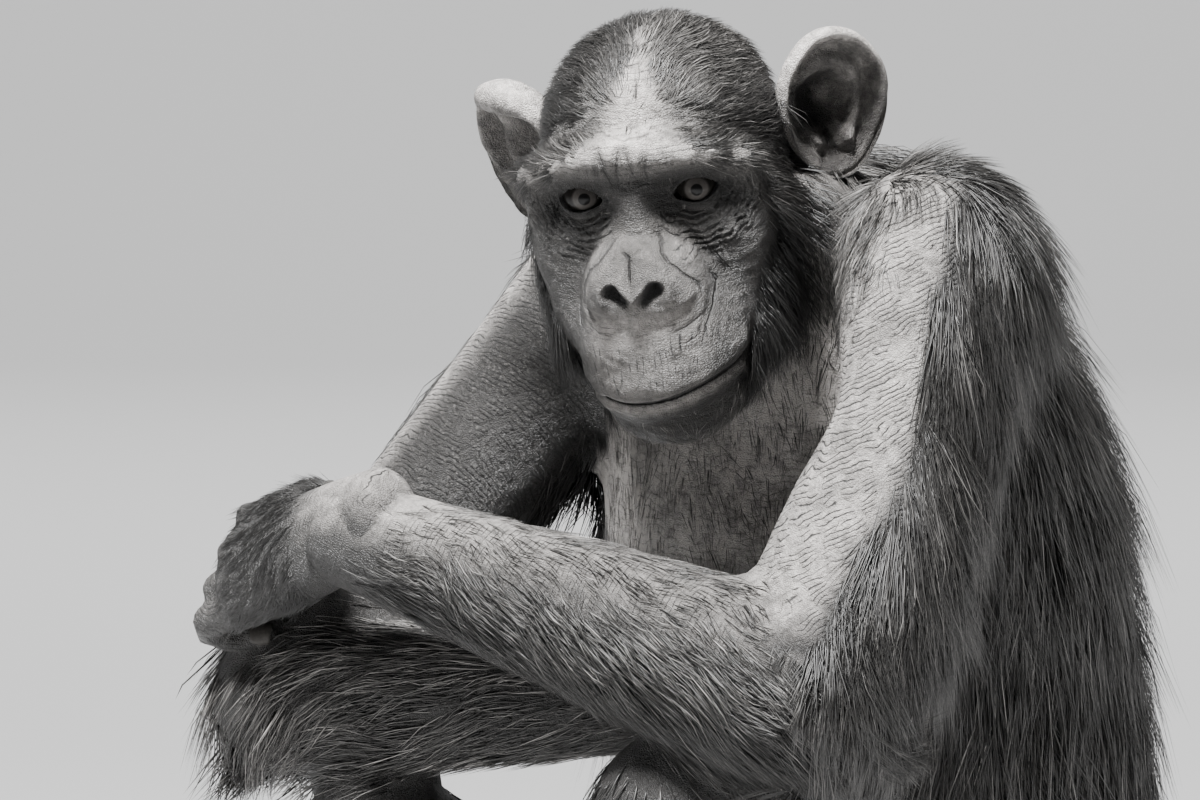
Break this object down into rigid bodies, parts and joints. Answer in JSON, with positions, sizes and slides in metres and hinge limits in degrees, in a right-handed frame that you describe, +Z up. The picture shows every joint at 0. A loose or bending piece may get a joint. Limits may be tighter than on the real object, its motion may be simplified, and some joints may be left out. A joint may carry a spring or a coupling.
{
  "type": "chimpanzee",
  "caption": "Life-size still model of a seated chimpanzee, arms folded over its raised knees, head turned to its left; rests on the floor on its seat and soles.",
  "frame": {"origin": "on the floor under the middle of the seat, on the flat of the rump", "axes": "+Z up; the body faces -Y; the animal's own left is +X"},
  "size_m": [0.4535, 0.6553, 0.7127],
  "materials": {
    "coat": "long, straight black-brown hair in flat, tapered locks with greyer tips, over dark skin",
    "skin": "bare grey-brown skin with fine creases, matt, slightly oily on the brow, nose and lips",
    "eye": "wet, clear and glossy over a pale brown-grey iris, dark pupil and dark white of the eye"
  },
  "bodies": {
    "root": {"torso": "coat", "neck": "coat", "left_thigh": "coat", "right_thigh": "coat", "left_shank": "coat", "right_shank": "coat", "left_upper_arm": "coat", "right_upper_arm": "coat", "left_forearm": "coat", "right_forearm": "coat", "head": "skin", "left_ear": "skin", "right_ear": "skin", "left_hand": "skin", "right_hand": "skin", "left_foot": "skin", "right_foot": "skin", "left_eye": "eye", "right_eye": "eye"}
  },
  "joints": []
}
